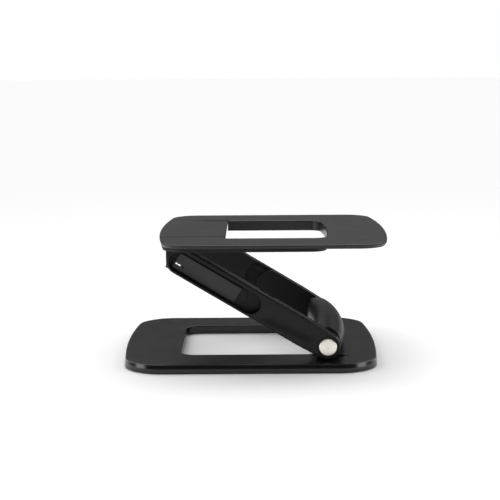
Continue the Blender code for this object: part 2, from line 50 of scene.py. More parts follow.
joints = {joint["name"]: joint for joint in frame["joints"]}
lowerPivot = Vector(joints["arm_lift"]["pos_m"])
upperPivot = Vector(joints["platform_level"]["pos_m"])
linkPin = Vector(joints["link_near_turn"]["pos_m"])
armRun = upperPivot - lowerPivot
armReach = armRun.length / mm
armPlace = Matrix.Translation(lowerPivot) @ Matrix.Rotation(atan2(armRun.z, -armRun.x), 4, "Y")
sides = (("near", -1), ("far", 1))
print("frame loaded, arm reach", round(armReach, 1), "mm")


camera = {"lens": 96.5, "x": -0.004, "y": -2.9945, "z": 0.6698, "tilt": 8.44, "heading": 0.14, "roll": -0.37}


def addCamera(values):
    data = bpy.data.cameras.new("camera")
    data.lens = values["lens"]
    data.sensor_width = 36
    data.clip_end = 50
    holder = bpy.data.objects.new("camera", data)
    turn = Matrix.Rotation(radians(values["heading"]), 4, "Z")
    tilt = Matrix.Rotation(radians(90 - values["tilt"]), 4, "X")
    roll = Matrix.Rotation(radians(values["roll"]), 4, "Z")
    holder.matrix_world = Matrix.Translation((values["x"], values["y"], values["z"])) @ turn @ tilt @ roll
    bpy.context.collection.objects.link(holder)
    bpy.context.scene.camera = holder


studio = {
    "floorSize": 60.0, "floorShade": 0.98,
    "lowSky": 0.05, "highSky": 1.68, "lowEdge": 0.22, "highEdge": 0.62, "frontShare": 0.22,
    "keyPower": 7.0, "keySize": 1.2, "keyPlace": (0.2, 0.5, 2.0),
    "stripAside": 1.5, "stripBack": -0.62, "stripHeight": 0.22, "stripPower": 5.0, "stripSize": 0.75,
}


def addLight(name, power, size, place, aim):
    data = bpy.data.lights.new(name, "AREA")
    data.energy = power
    data.shape = "DISK"
    data.size = size
    holder = bpy.data.objects.new(name, data)
    holder.location = place
    holder.rotation_euler = (Vector(aim) - Vector(place)).to_track_quat("-Z", "Y").to_euler()
    bpy.context.collection.objects.link(holder)


# Soft sky that is dim near the horizon; the lens itself sees plain white.
def addSky(values):
    world = bpy.data.worlds.new("softSky")
    world.use_nodes = True
    tree = world.node_tree
    sky = tree.nodes["Background"]
    place = tree.nodes.new("ShaderNodeTexCoord")
    parts = tree.nodes.new("ShaderNodeSeparateXYZ")
    climb = tree.nodes.new("ShaderNodeMapRange")
    climb.interpolation_type = "SMOOTHSTEP"
    climb.inputs["From Min"].default_value = values["lowEdge"]
    climb.inputs["From Max"].default_value = values["highEdge"]
    climb.inputs["To Min"].default_value = values["lowSky"]
    climb.inputs["To Max"].default_value = values["highSky"]
    tree.links.new(place.outputs["Generated"], parts.inputs["Vector"])
    tree.links.new(parts.outputs["Z"], climb.inputs["Value"])
    sweep = tree.nodes.new("ShaderNodeMapRange")          # the sky is brighter behind the object than in front
    sweep.inputs["From Min"].default_value = -0.8
    sweep.inputs["From Max"].default_value = 0.4
    sweep.inputs["To Min"].default_value = values["frontShare"]
    sweep.inputs["To Max"].default_value = 1.0
    tree.links.new(parts.outputs["Y"], sweep.inputs["Value"])
    both = tree.nodes.new("ShaderNodeMath")
    both.operation = "MULTIPLY"
    tree.links.new(climb.outputs["Result"], both.inputs[0])
    tree.links.new(sweep.outputs["Result"], both.inputs[1])
    tree.links.new(both.outputs[0], sky.inputs["Strength"])
    paper = tree.nodes.new("ShaderNodeBackground")
    paper.inputs["Color"].default_value = (1, 1, 1, 1)
    sky.inputs["Color"].default_value = (1, 1, 1, 1)
    ray = tree.nodes.new("ShaderNodeLightPath")
    swap = tree.nodes.new("ShaderNodeMixShader")
    tree.links.new(ray.outputs["Is Camera Ray"], swap.inputs["Fac"])
    tree.links.new(sky.outputs["Background"], swap.inputs[1])
    tree.links.new(paper.outputs["Background"], swap.inputs[2])
    tree.links.new(swap.outputs["Shader"], tree.nodes["World Output"].inputs["Surface"])
    bpy.context.scene.world = world


def addFloor(values):
    plane = bmesh.new()
    half = values["floorSize"] / 2
    plane.faces.new([plane.verts.new((x * half, y * half, 0)) for x, y in ((-1, -1), (1, -1), (1, 1), (-1, 1))])
    data = bpy.data.meshes.new("studioFloor")
    plane.to_mesh(data)
    plane.free()
    floor = bpy.data.objects.new("studioFloor", data)
    bpy.context.collection.objects.link(floor)
    paper = bpy.data.materials.new("whitePaper")
    paper.use_nodes = True
    shader = paper.node_tree.nodes["Principled BSDF"]
    shade = values["floorShade"]
    shader.inputs["Base Color"].default_value = (shade, shade, shade, 1)
    shader.inputs["Roughness"].default_value = 0.9
    shader.inputs["Specular IOR Level"].default_value = 0.0
    data.materials.append(paper)


def addStudio(values):
    addSky(values)
    addFloor(values)
    addLight("keyLight", values["keyPower"], values["keySize"], values["keyPlace"], (0, 0, 0.1))
    for name, side in (("leftStrip", -1), ("rightStrip", 1)):
        place = (side * values["stripAside"], values["stripBack"], values["stripHeight"])
        addLight(name, values["stripPower"], values["stripSize"], place, (0, 0, 0))
    bpy.context.scene.view_settings.view_transform = "Standard"


addCamera(camera)
addStudio(studio)
print("camera and studio ready")


def newFinish(name):
    made = bpy.data.materials.new(name)
    made.use_nodes = True
    tree = made.node_tree
    return made, tree, tree.nodes["Principled BSDF"]


def node(tree, kind, **settings):
    made = tree.nodes.new(kind)
    for key, value in settings.items():
        if key in made.inputs:
            made.inputs[key].default_value = value
        else:
            setattr(made, key, value)
    return made


# Noise in metres, stretched along an axis where a finish has a grain.
def addSpots(tree, scale, detail, stretch=(1, 1, 1)):
    place = node(tree, "ShaderNodeTexCoord")
    mapping = node(tree, "ShaderNodeMapping")
    mapping.inputs["Scale"].default_value = stretch
    tree.links.new(place.outputs["Object"], mapping.inputs["Vector"])
    noise = node(tree, "ShaderNodeTexNoise", Scale=scale, Detail=detail, Roughness=0.55)
    tree.links.new(mapping.outputs["Vector"], noise.inputs["Vector"])
    return noise


def addRange(tree, source, low, high):
    spread = node(tree, "ShaderNodeMapRange")
    spread.inputs["From Min"].default_value = 0.3
    spread.inputs["From Max"].default_value = 0.7
    spread.inputs["To Min"].default_value = low
    spread.inputs["To Max"].default_value = high
    tree.links.new(source.outputs[0], spread.inputs["Value"])
    return spread


def addColors(tree, source, dark, light):
    ramp = node(tree, "ShaderNodeValToRGB")
    ramp.color_ramp.elements[0].position = 0.3
    ramp.color_ramp.elements[0].color = (*dark, 1)
    ramp.color_ramp.elements[1].position = 0.7
    ramp.color_ramp.elements[1].color = (*light, 1)
    tree.links.new(source.outputs[0], ramp.inputs["Fac"])
    return ramp


def addBump(tree, source, shader, depth, strength=1.0):
    bump = node(tree, "ShaderNodeBump", Strength=strength, Distance=depth)
    tree.links.new(source.outputs[0], bump.inputs["Height"])
    tree.links.new(bump.outputs["Normal"], shader.inputs["Normal"])
    return bump


# Satin moulding: fine spark-eroded grain, and faint cloudy changes of gloss.
def mouldedPlastic(name, shade, gloss, grain, specular=0.5):
    made, tree, shader = newFinish(name)
    clouds = addSpots(tree, 14, 4)
    tint = addColors(tree, clouds, [c * 0.9 for c in shade], [c * 1.1 for c in shade])
    tree.links.new(tint.outputs["Color"], shader.inputs["Base Color"])
    smear = addRange(tree, addSpots(tree, 30, 6), gloss - 0.02, gloss + 0.02)
    tree.links.new(smear.outputs["Result"], shader.inputs["Roughness"])
    shader.inputs["Specular IOR Level"].default_value = specular
    addBump(tree, addSpots(tree, 1500, 2), shader, grain * mm)
    return made


# Powder coat: soft orange peel under a satin skin.
def coatedMetal(name, shade, gloss, peel, specular=0.5):
    made, tree, shader = newFinish(name)
    clouds = addSpots(tree, 22, 5)
    tint = addColors(tree, clouds, [c * 0.88 for c in shade], [c * 1.12 for c in shade])
    tree.links.new(tint.outputs["Color"], shader.inputs["Base Color"])
    smear = addRange(tree, addSpots(tree, 45, 5), gloss - 0.03, gloss + 0.04)
    tree.links.new(smear.outputs["Result"], shader.inputs["Roughness"])
    shader.inputs["Specular IOR Level"].default_value = specular
    addBump(tree, addSpots(tree, 650, 3), shader, peel * mm)
    return made


# Bare metal with a drawn grain along one axis.
def brushedMetal(name, shade, gloss, stretch, depth):
    made, tree, shader = newFinish(name)
    lines = addSpots(tree, 900, 3, stretch)
    tint = addColors(tree, lines, [c * 0.82 for c in shade], shade)
    tree.links.new(tint.outputs["Color"], shader.inputs["Base Color"])
    smear = addRange(tree, addSpots(tree, 60, 4), gloss - 0.05, gloss + 0.08)
    tree.links.new(smear.outputs["Result"], shader.inputs["Roughness"])
    shader.inputs["Metallic"].default_value = 1.0
    addBump(tree, lines, shader, depth * mm)
    return made


# Face turned on a lathe: fine rings round the pivot's axis.
def turnedMetal(name, shade, gloss, centre, pitch):
    made, tree, shader = newFinish(name)
    place = node(tree, "ShaderNodeTexCoord")
    mapping = node(tree, "ShaderNodeMapping")
    mapping.inputs["Location"].default_value = (-centre.x, 0, -centre.z)
    mapping.inputs["Scale"].default_value = (1, 0, 1)
    tree.links.new(place.outputs["Object"], mapping.inputs["Vector"])
    radius = node(tree, "ShaderNodeVectorMath", operation="LENGTH")
    tree.links.new(mapping.outputs["Vector"], radius.inputs[0])
    rings = node(tree, "ShaderNodeMath", operation="MULTIPLY")
    rings.inputs[1].default_value = 2 * pi / (pitch * mm)
    tree.links.new(radius.outputs["Value"], rings.inputs[0])
    wave = node(tree, "ShaderNodeMath", operation="SINE")
    tree.links.new(rings.outputs[0], wave.inputs[0])
    tint = addColors(tree, addSpots(tree, 250, 4), [c * 0.93 for c in shade], shade)
    tree.links.new(tint.outputs["Color"], shader.inputs["Base Color"])
    shader.inputs["Metallic"].default_value = 1.0
    shader.inputs["Roughness"].default_value = gloss
    addBump(tree, wave, shader, 0.012 * mm)
    return made


def softRubber(name, shade):
    made, tree, shader = newFinish(name)
    tint = addColors(tree, addSpots(tree, 120, 5), shade, [c * 1.6 for c in shade])
    tree.links.new(tint.outputs["Color"], shader.inputs["Base Color"])
    shader.inputs["Roughness"].default_value = 0.82
    addBump(tree, addSpots(tree, 2200, 2), shader, 0.05 * mm)
    return made


finishes = {
    "base_black": mouldedPlastic("baseBlack", (0.005, 0.005, 0.0053), 0.22, 0.006, 0.55),
    "platform_black": mouldedPlastic("platformBlack", (0.023, 0.023, 0.0235), 0.3, 0.008, 0.3),
    "arm_black": coatedMetal("armBlack", (0.006, 0.006, 0.0065), 0.34, 0.03, 0.25),
    "drum_black": mouldedPlastic("drumBlack", (0.006, 0.006, 0.0064), 0.42, 0.02, 0.2),   # the drum is duller
    "frame_black": coatedMetal("frameBlack", (0.006, 0.006, 0.006), 0.5, 0.04, 0.3),
    "channel_grey": mouldedPlastic("channelGrey", (0.03, 0.03, 0.031), 0.5, 0.03),
    "turned_steel": turnedMetal("turnedSteel", (0.9, 0.86, 0.77), 0.24, lowerPivot, 0.5),
    "plain_steel": brushedMetal("plainSteel", (0.5, 0.5, 0.5), 0.34, (0.05, 1, 1), 0.02),
    "spring_steel": brushedMetal("springSteel", (0.22, 0.22, 0.23), 0.32, (1, 1, 1), 0.01),
    "bronze": brushedMetal("bronze", (0.55, 0.36, 0.16), 0.4, (1, 1, 1), 0.015),
    "foot_rubber": softRubber("footRubber", (0.013, 0.013, 0.013)),
}
slotOf = {part["node"]: part["material_slot"] for part in frame["record"]["subparts"]}
for name, part in frame["nodes"].items():
    part.data.materials.clear()
    part.data.materials.append(finishes[slotOf[name]])
print("finishes made:", len(finishes))


through = 200.0       # reach of a cutter that passes right through, each side of the middle
mouthReach = 8.0      # how far a cutter stands out of the face that it opens


# Outlines are lists of points in mm.
def arc(cx, cy, radius, start, end, steps):
    turns = [radians(start + (end - start) * k / steps) for k in range(steps + 1)]
    return [(cx + radius * cos(a), cy + radius * sin(a)) for a in turns]


def circle(cx, cy, radius, steps):
    return arc(cx, cy, radius, 0, 360, steps)[:-1]


def stadium(x0, x1, radius, steps=32, y=0.0):
    return arc(x0, y, radius, 90, 270, steps) + arc(x1, y, radius, -90, 90, steps)


# Rounded rectangle whose ends bow out; bows and corners give the low X end, then the high X end.
def bowedOutline(ends, halfY, bows, corners, grow=0.0, cornerSteps=18, sideSteps=36):
    halfY += grow
    sideX = [ends[0] + bows[0] - grow, ends[1] - bows[1] + grow]
    radii = [corner + grow for corner in corners]
    flats = [sideX[0] + radii[0], sideX[1] - radii[1]]
    points = []
    for quarter, (end, sy) in enumerate(((1, 1), (0, 1), (0, -1), (1, -1))):
        flatY = sy * (halfY - radii[end])
        points += arc(flats[end], flatY, radii[end], 90 * quarter, 90 * quarter + 90, cornerSteps)
        for k in range(1, sideSteps):
            along = k / sideSteps
            if quarter % 2 == 0:
                points.append((flats[end] + (flats[1 - end] - flats[end]) * along, sy * halfY))
            else:
                points.append((sideX[end], flatY * (1 - 2 * along)))
    middle, halfX = (sideX[0] + sideX[1]) / 2, (sideX[1] - sideX[0]) / 2
    bowed = []
    for x, y in points:
        out = (x - middle) / halfX
        bowed.append((x + bows[1 if out > 0 else 0] * out * (1 - (y / halfY) ** 2), y))
    return bowed


# Mesh in mm over rings of equal length: the last ring joins the first one, or both get an end face.
def skin(rings, closed=False):
    shape = bmesh.new()
    loops = [[shape.verts.new(point) for point in ring] for ring in rings]
    pairs = list(zip(loops, loops[1:]))
    if closed:
        pairs.append((loops[-1], loops[0]))
    for first, second in pairs:
        for k in range(len(first)):
            n = (k + 1) % len(first)
            shape.faces.new((first[k], first[n], second[n], second[k]))
    if not closed:
        shape.faces.new(loops[0])
        shape.faces.new(loops[-1])
    bmesh.ops.recalc_face_normals(shape, faces=shape.faces)
    return shape


# Rings across Y: outlineAt(grow) gives X, Z points; levels are (Y, grow).
def sideRings(outlineAt, levels):
    return [[(x, y, z) for x, z in outlineAt(grow)] for y, grow in levels]


# Plain slab: outline points are X, Z across Y, or X, Y up Z.
def slab(outline, low, high, upright=False):
    if upright:
        return skin([[(x, y, level) for x, y in outline] for level in (low, high)])
    return skin([[(x, level, z) for x, z in outline] for level in (low, high)])


# Levels from the inner face round the quarter circle at the outer one; bend is -1 to close in, 1 to flare.
def edgeLevels(inner, outer, edge, steps, bend):
    sign = 1 if outer > inner else -1
    turns = [radians(90 * k / steps) for k in range(steps + 1)]
    return [(inner, 0.0)] + [(outer - sign * edge * (1 - sin(a)), bend * edge * (1 - cos(a))) for a in turns]


# Levels of a solid whose outer edge is rounded by edge mm.
def roundedLevels(inner, outer, edge, steps=6):
    return edgeLevels(inner, outer, edge, steps, -1)


# Levels of a cutter whose mouth at the outer face is flared by edge mm.
def holeLevels(inner, outer, edge, steps=5):
    sign = 1 if outer > inner else -1
    return edgeLevels(inner, outer, edge, steps, 1) + [(outer + sign * mouthReach, edge)]


# Object at the origin whose mesh holds its place, from a mesh in mm.
def newPiece(name, shape, slot, place=None):
    shape.normal_update()
    shape.transform(Matrix.Scale(mm, 4))
    if place:
        shape.transform(place)
    data = bpy.data.meshes.new(name)
    shape.to_mesh(data)
    shape.free()
    made = bpy.data.objects.new(name, data)
    bpy.context.collection.objects.link(made)
    if slot:
        data.materials.append(finishes[slot])
    return made


# Makes the modifiers' result the piece's own mesh.
def applyAll(piece):
    bpy.context.view_layer.update()
    seen = piece.evaluated_get(bpy.context.evaluated_depsgraph_get())
    data = bpy.data.meshes.new_from_object(seen)
    piece.modifiers.clear()
    old = piece.data
    piece.data = data
    bpy.data.meshes.remove(old)
    data.name = piece.name
    return piece


def carve(piece, tools, joining=False):
    for tool in tools:
        step = piece.modifiers.new(tool.name, "BOOLEAN")
        step.operation = "UNION" if joining else "DIFFERENCE"
        step.solver = "EXACT"
        step.object = tool
    applyAll(piece)
    for tool in tools:
        bpy.data.objects.remove(tool, do_unlink=True)
    return piece


# Softens the edges, sets the shading and hands the piece to its body.
def finishPiece(piece, body, slot, replaced=(), sharp=38, edge=0.0):
    if edge:
        bevel = piece.modifiers.new("softEdge", "BEVEL")
        bevel.width = edge * mm
        bevel.segments = 3
        bevel.limit_method = "ANGLE"
        bevel.angle_limit = radians(50)
        applyAll(piece)
    piece.data.shade_smooth()
    piece.data.set_sharp_from_angle(angle=radians(sharp))
    piece.modifiers.new("evenShading", "WEIGHTED_NORMAL").keep_sharp = True
    applyAll(piece)
    if not piece.data.materials:
        piece.data.materials.append(finishes[slot])
    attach(piece, body)
    if replaced:
        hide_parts(*replaced)
    return piece


def boxMm(name):
    low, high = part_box(name)
    return Vector(low) / mm, Vector(high) / mm


# Inner and outer face of a node across Y; sign is the side of the model that it is on.
def facesOf(name, sign):
    low, high = boxMm(name)
    return (high.y, low.y) if sign < 0 else (low.y, high.y)


# Rounded top edge: from the side up to the flat, or down again at a hole.
def quarterProfile(which, radius, top, steps, outwards):
    profile = []
    for k in range(steps + 1):
        a = radians(90 * k / steps)
        inset, drop = radius * (1 - cos(a)), radius * (1 - sin(a))
        profile.append((which, -inset if outwards else inset, top - drop))
    return profile if outwards else profile[::-1]


def plateSkin(section, edgeAt, holeAt):
    rings = []
    for which, grow, height in section:
        outline = edgeAt(grow) if which == "edge" else holeAt(grow)
        rings.append([(x, y, height) for x, y in outline])
    return skin(rings, closed=True)


base = {"bow": 18.0, "corner": 74.0, "edgeRound": 1.8, "lean": 1.7, "leanStart": 5.0, "leanStep": 2.5,
        "footInset": 0.4, "footHeight": 0.8, "holeLeft": 128.0, "holeRight": 134.0, "holeHalf": 155.0,
        "holeCorner": 30.0, "holeRound": 2.0, "wall": 2.5, "innerInset": 2.5}


def buildBase(values):
    low, high = boxMm("base_cover")
    wall, lean, leanStart = values["wall"], values["lean"], low.z + values["leanStart"]
    holeEnds = (low.x + values["holeLeft"], high.x - values["holeRight"])

    def edgeAt(grow):
        return bowedOutline((low.x, high.x), high.y, [values["bow"]] * 2, [values["corner"]] * 2, grow)

    def holeAt(grow):
        return bowedOutline(holeEnds, values["holeHalf"], (0, 0), [values["holeCorner"]] * 2, grow)

    section = [("edge", -values["footInset"], low.z), ("edge", 0.0, low.z + values["footHeight"]),
               ("edge", 0.0, leanStart)]
    # the side leans in more and more towards its top, where the rounded edge takes over
    section += [("edge", -lean * k * k / 16, leanStart + values["leanStep"] * k) for k in range(1, 5)]
    section += [(which, grow - lean, height) for which, grow, height in
                quarterProfile("edge", values["edgeRound"], high.z, 7, True)][2:]
    section += quarterProfile("hole", values["holeRound"], high.z, 5, False)
    section += [("hole", 0.0, low.z), ("hole", wall, low.z), ("hole", wall, high.z - wall),
                ("edge", -wall - values["innerInset"], high.z - wall), ("edge", -wall, low.z)]
    cover = newPiece("baseCover", plateSkin(section, edgeAt, holeAt), "base_black")
    finishPiece(cover, "base", "base_black", ["base_cover"])


hub = {"left": 28.5, "leftLow": 33.0, "midRadius": 47.0, "endRight": 29.0, "endTop": 35.5, "squareness": 3.0,
       "wall": 3.0, "endRound": 1.2, "floorBows": (0.0, 4.0), "floorCorners": (4.0, 14.0), "floorRound": 0.7,
       "shaftHole": 8.0, "pinHole": 3.3, "openHalf": 70.0, "openDepth": -5.0, "rings": 48, "steps": 128}


# One ring of the drum that joins the two sides of the arm; share is 0 at its middle and 1 at its ends.
def drumRing(values, y, share, shrink):
    right = values["midRadius"] + (values["endRight"] - values["midRadius"]) * share - shrink
    top = values["midRadius"] + (values["endTop"] - values["midRadius"]) * share - shrink
    left, leftLow = values["left"] - shrink, values["leftLow"] - shrink
    ring = []
    for k in range(values["steps"]):
        across, up = cos(2 * pi * k / values["steps"]), sin(2 * pi * k / values["steps"])
        if across >= 0:
            x, z = right * across, top * up
        elif up < 0:
            x, z = left * across, leftLow * up
        else:
            power = 2 / (2 + values["squareness"] * share)
            x, z = -left * abs(across) ** power, top * up ** power
        ring.append((x + lowerPivot.x / mm, y, z + lowerPivot.z / mm))
    return ring


def buildHub(values):
    low, high = boxMm("hub_cover")
    end = high.y
    px, pz = lowerPivot.x / mm, lowerPivot.z / mm

    def drum(reach, shrink, edge):
        stops = [reach * (2 * k / values["rings"] - 1) * (1 - edge / reach) for k in range(values["rings"] + 1)]
        rings = [drumRing(values, y, (y / end) ** 2, shrink) for y in stops]
        if not edge:
            return skin(rings)
        lips = []
        for sign in (-1, 1):
            lip = []
            for k in range(1, 5):
                a = radians(90 * k / 4)
                y = sign * (reach - edge * (1 - sin(a)))
                lip.append(drumRing(values, y, 1.0, shrink + edge * (1 - cos(a))))
            lips.append(lip)
        return skin(lips[0][::-1] + rings + lips[1])

    cover = newPiece("hubCover", drum(end, 0.0, values["endRound"]), "drum_black")
    half, depth = values["openHalf"], values["openDepth"]
    outline = [(px - half, depth), (px + half, depth), (px + half, low.z), (px - half, low.z)]
    below = slab(outline, -through, through)
    shaftHole = slab(circle(px, pz, values["shaftHole"], 48), -through, through)
    pin = linkPin / mm
    pinHole = slab(circle(pin.x, pin.z, values["pinHole"], 24), -through, through)
    carve(cover, [newPiece("drumRoom", drum(end - values["wall"], values["wall"], 0.0), None),
                  newPiece("below", below, None), newPiece("shaftHole", shaftHole, None),
                  newPiece("pinHole", pinHole, None)])
    finishPiece(cover, "base", "base_black", ["hub_cover"], sharp=42)

    low, high = boxMm("hub_floor")
    floorEdge = bowedOutline((low.x, high.x), high.y, values["floorBows"], values["floorCorners"])
    floor = slab(floorEdge, low.z, high.z, True)
    finishPiece(newPiece("hubFloor", floor, "base_black"), "base", "base_black", ["hub_floor"],
                edge=values["floorRound"])


platform = {"bow": 21.5, "corner": 50.0, "undercut": 3.5, "edgeRound": 2.6,
            "holeLeft": 147.7, "holeRight": 130.5,
            "holeHalf": 150.0, "holeBows": (0.0, 9.0), "holeCorners": (1.5, 25.0), "holeRound": 3.0,
            "wall": 3.0, "skin": 6.0, "thickness": 9.0,
            "dishNear": -126.0, "dishFar": 158.0, "dishStart": -2.0, "dishPast": 5.0,
            "dishDepth": 2.2, "dishNearDepth": 0.15, "dishFarSoft": 1.5, "dishColumns": 40, "dishRows": 6,
            "seam": 5.0, "seamDepth": 1.8,
            "notch": 9.0, "notchDepth": 5.0, "notchLength": 9.0, "notchSoft": 0.6,
            "openHalf": 170.0, "openWidth": 9.0, "openPast": 0.1, "openDepth": 5.0}


def platformEdgeAt(values):
    low, high = boxMm("platform_top")
    return lambda grow: bowedOutline((low.x, high.x), high.y, [values["bow"]] * 2, [values["corner"]] * 2, grow)


# A tool for the shallow panel beside the opening: a seam along its near side, a step along its far side.
def dishShape(values, near, far, top):
    columns, low, high = values["dishColumns"], values["dishNear"], values["dishFar"]
    farSoft = values["dishFarSoft"]
    stops = [near + (far - near) * k / columns for k in range(columns + 1)]
    notchStart = far - values["notchLength"]
    stops = sorted(stops + [notchStart - values["notchSoft"], notchStart])
    rings = []
    for x in stops:
        notched = x >= notchStart
        width = values["notch"] if notched else values["seam"]
        deep = values["notchDepth"] if notched else values["seamDepth"]
        farDepth = values["dishDepth"] * (0.35 + 0.65 * (x - near) / (far - near))
        start, end = low + width, high - farSoft
        ring = [(x, low, top - deep), (x, start, top - deep)]
        for k in range(values["dishRows"] + 1):
            share = k / values["dishRows"]
            depth = values["dishNearDepth"] + (farDepth - values["dishNearDepth"]) * share
            ring.append((x, start + 0.02 + (end - start) * share, top - depth))
        ring += [(x, high - farSoft * (1 - k / 4), top + 0.02 - farDepth * (1 - (k / 4) ** 2))
                 for k in range(1, 5)]
        rings.append(ring + [(x, high, top + 9), (x, low, top + 9)])
    return skin(rings)


def buildPlatform(values):
    low, high = boxMm("platform_top")
    top, under, flat = high.z, high.z - values["thickness"], high.z - values["skin"]
    wall, cut = values["wall"], values["undercut"]
    holeEnds = (low.x + values["holeLeft"], high.x - values["holeRight"])

    def holeAt(grow):
        return bowedOutline(holeEnds, values["holeHalf"], values["holeBows"], values["holeCorners"], grow)

    section = [("edge", -cut - 0.8, under), ("edge", -cut, under + 0.4)]
    section += quarterProfile("edge", values["edgeRound"], top, 7, True)
    section += quarterProfile("hole", values["holeRound"], top, 7, False)
    section += [("hole", 0.0, low.z + 0.6), ("hole", 0.6, low.z), ("hole", wall, low.z), ("hole", wall, flat),
                ("edge", -cut - 4.0, flat), ("edge", -cut - 3.0, under)]
    piece = newPiece("platformTop", plateSkin(section, platformEdgeAt(values), holeAt), "platform_black")
    near, far = low.x + values["dishStart"], holeEnds[0] + values["dishPast"]
    past, half, openLow = values["openPast"], values["openHalf"], low.z - values["openDepth"]
    openLeft, openRight = holeEnds[0] - values["openWidth"], holeEnds[0] + past
    # the collar round the opening has no wall at its low X end
    openEnd = [(openLeft, openLow), (openRight, openLow), (openRight, flat - past), (openLeft, flat - past)]
    carve(piece, [newPiece("dish", dishShape(values, near, far, top), None),
                  newPiece("openEnd", slab(openEnd, -half, half), None)])
    finishPiece(piece, "platform", "platform_black", ["platform_top"], sharp=30)


underframe = {"inset": 3.0, "corner": 34.0, "inner": 222.0, "bar": 19.0, "barCorner": 15.0, "rimLength": 151.0,
              "edgeRound": 0.9}


def buildUnderframe(values):
    low, high = boxMm("platform_underframe")
    half, corner, inner = high.y, values["corner"], values["inner"]
    left = boxMm("platform_top")[0].x
    rimEnd = left + values["rimLength"]       # up to here the frame follows the platform's outline
    edge = [(high.x, -inner)] + arc(high.x - corner, corner - half, corner, 0, -90, 16)
    rim = platformEdgeAt(platform)(-values["inset"])
    edge += [(x, y) for x, y in reversed(rim) if x < rimEnd]
    edge += arc(high.x - corner, half - corner, corner, 90, 0, 16) + [(high.x, inner)]
    bar, soft = left + values["bar"] + values["barCorner"], values["barCorner"]
    edge += arc(bar, inner - soft, soft, 90, 180, 10) + arc(bar, soft - inner, soft, 180, 270, 10)
    piece = newPiece("underframe", slab(edge, low.z, high.z, True), "frame_black")
    finishPiece(piece, "platform", "frame_black", ["platform_underframe"], edge=values["edgeRound"])


bracket = {"left": 32.0, "right": 28.0, "low": 14.5, "knee": 6.0, "boss": 11.5, "flange": 4.0, "inner": 162.0,
           "bore": 6.3, "pinBore": 3.3, "boreSpan": (120.0, 190.0), "edgeRound": 0.9}


def buildBracket(values, side, sign):
    low, high = boxMm("platform_bracket_" + side)
    px, pz, top = upperPivot.x / mm, upperPivot.z / mm, high.z
    near, far = sorted((abs(low.y), abs(high.y)))
    left, right = px - values["left"], px + values["right"]
    outline = [(left, top), (left, pz - values["low"])] + arc(px, pz, values["boss"], 230, 325, 20)
    outline += [(right, pz + values["knee"]), (right, top)]
    lug = newPiece("platformBracket." + side, slab(outline, sign * values["inner"], sign * far), "arm_black")
    lip = [(left, top - values["flange"]), (right, top - values["flange"]), (right, top), (left, top)]
    carve(lug, [newPiece("flange", slab(lip, sign * near, sign * (values["inner"] + 1)), None)], joining=True)
    pin = linkPin - lowerPivot + upperPivot
    span = [sign * reach for reach in values["boreSpan"]]
    bore = slab(circle(px, pz, values["bore"], 40), *span)
    pinBore = slab(circle(pin.x / mm, pin.z / mm, values["pinBore"], 24), *span)
    carve(lug, [newPiece("bore", bore, None), newPiece("pinBore", pinBore, None)])
    finishPiece(lug, "platform", "arm_black", ["platform_bracket_" + side], edge=values["edgeRound"])


buildBase(base)
buildHub(hub)
print("base and hub built")
buildPlatform(platform)
buildUnderframe(underframe)
for sideName, sideSign in sides:
    buildBracket(bracket, sideName, sideSign)
print("platform built")


# The arm's own frame has the lower pivot at the origin and the upper pivot along -X.
arm = {"half": 29.5, "endRadius": 27.4, "taper": 60.0, "edgeRound": 3.5,
       "windowRadius": 22.0, "windowEnd": -189.0, "windowMiddle": -2.5, "windowRound": 1.2,
       "capSeat": 20.2, "capSeatDepth": 3.0, "capSeatRound": 2.6,
       "coverWall": 3.0, "jointRoom": 23.5, "nose": -168.0, "upperEnd": -187.0, "coverRound": 1.4,
       "lowerRoom": (-200.0, 60.0), "upperRoomPast": 60.0, "upperRoomEnd": -100.0,
       "mouthRound": 0.5, "cutPast": 5.0}
scoop = {"from": -164.0, "to": -26.0, "depth": 1.9, "half": 21.0, "rise": 0.09, "fade": 26.0,
         "lidHeight": 6.0, "columns": 92, "rows": 36}


def armOutline(values, tip, grow=0.0, steps=32):
    half, end = values["half"] + grow, values["endRadius"] + grow
    turn = degrees(pi - atan2(half, values["taper"]) - acos(end / sqrt(values["taper"] ** 2 + half ** 2)))
    points = arc(tip, 0.0, half, 90, 270, steps) + [(-values["taper"], -half)]
    return points + arc(0.0, 0.0, end, -turn, turn, steps) + [(-values["taper"], half)]


def cutterAcross(name, outlineAt, inner, outer, edge):
    return newPiece(name, skin(sideRings(outlineAt, holeLevels(inner, outer, edge))), None, armPlace)


# A cutter whose underside is a shallow trough that fades out at its borders.
def scoopCutter(values, face, sign):
    shape = bmesh.new()
    columns, rows = values["columns"], values["rows"]
    start, end, half = values["from"], values["to"], values["half"]
    middle = (start + end) / 2
    grid = []
    for i in range(columns + 1):
        x = start + (end - start) * i / columns
        fade = min(1.0, min(x - start, end - x) / values["fade"])
        fade = fade * fade * (3 - 2 * fade)
        line = []
        for j in range(rows + 1):
            across = 2 * j / rows - 1
            z = across * half + (x - middle) * values["rise"]
            dip = values["depth"] * fade * (1 - across * across) ** 2
            line.append(shape.verts.new((x, face - sign * (dip - 0.02), z)))
        grid.append(line)
    lidY = face + sign * values["lidHeight"]
    lid = [[shape.verts.new((v.co.x, lidY, v.co.z)) for v in line] for line in grid]
    for i in range(columns):
        for j in range(rows):
            for net in (grid, lid):
                shape.faces.new((net[i][j], net[i + 1][j], net[i + 1][j + 1], net[i][j + 1]))
    border = [(i, 0) for i in range(columns)] + [(columns, j) for j in range(rows)]
    border += [(i, rows) for i in range(columns, 0, -1)] + [(0, j) for j in range(rows, 0, -1)]
    for k, (i, j) in enumerate(border):
        m, n = border[(k + 1) % len(border)]
        shape.faces.new((grid[i][j], grid[m][n], lid[m][n], lid[i][j]))
    bmesh.ops.recalc_face_normals(shape, faces=shape.faces)
    return newPiece("scoop", shape, None, armPlace)


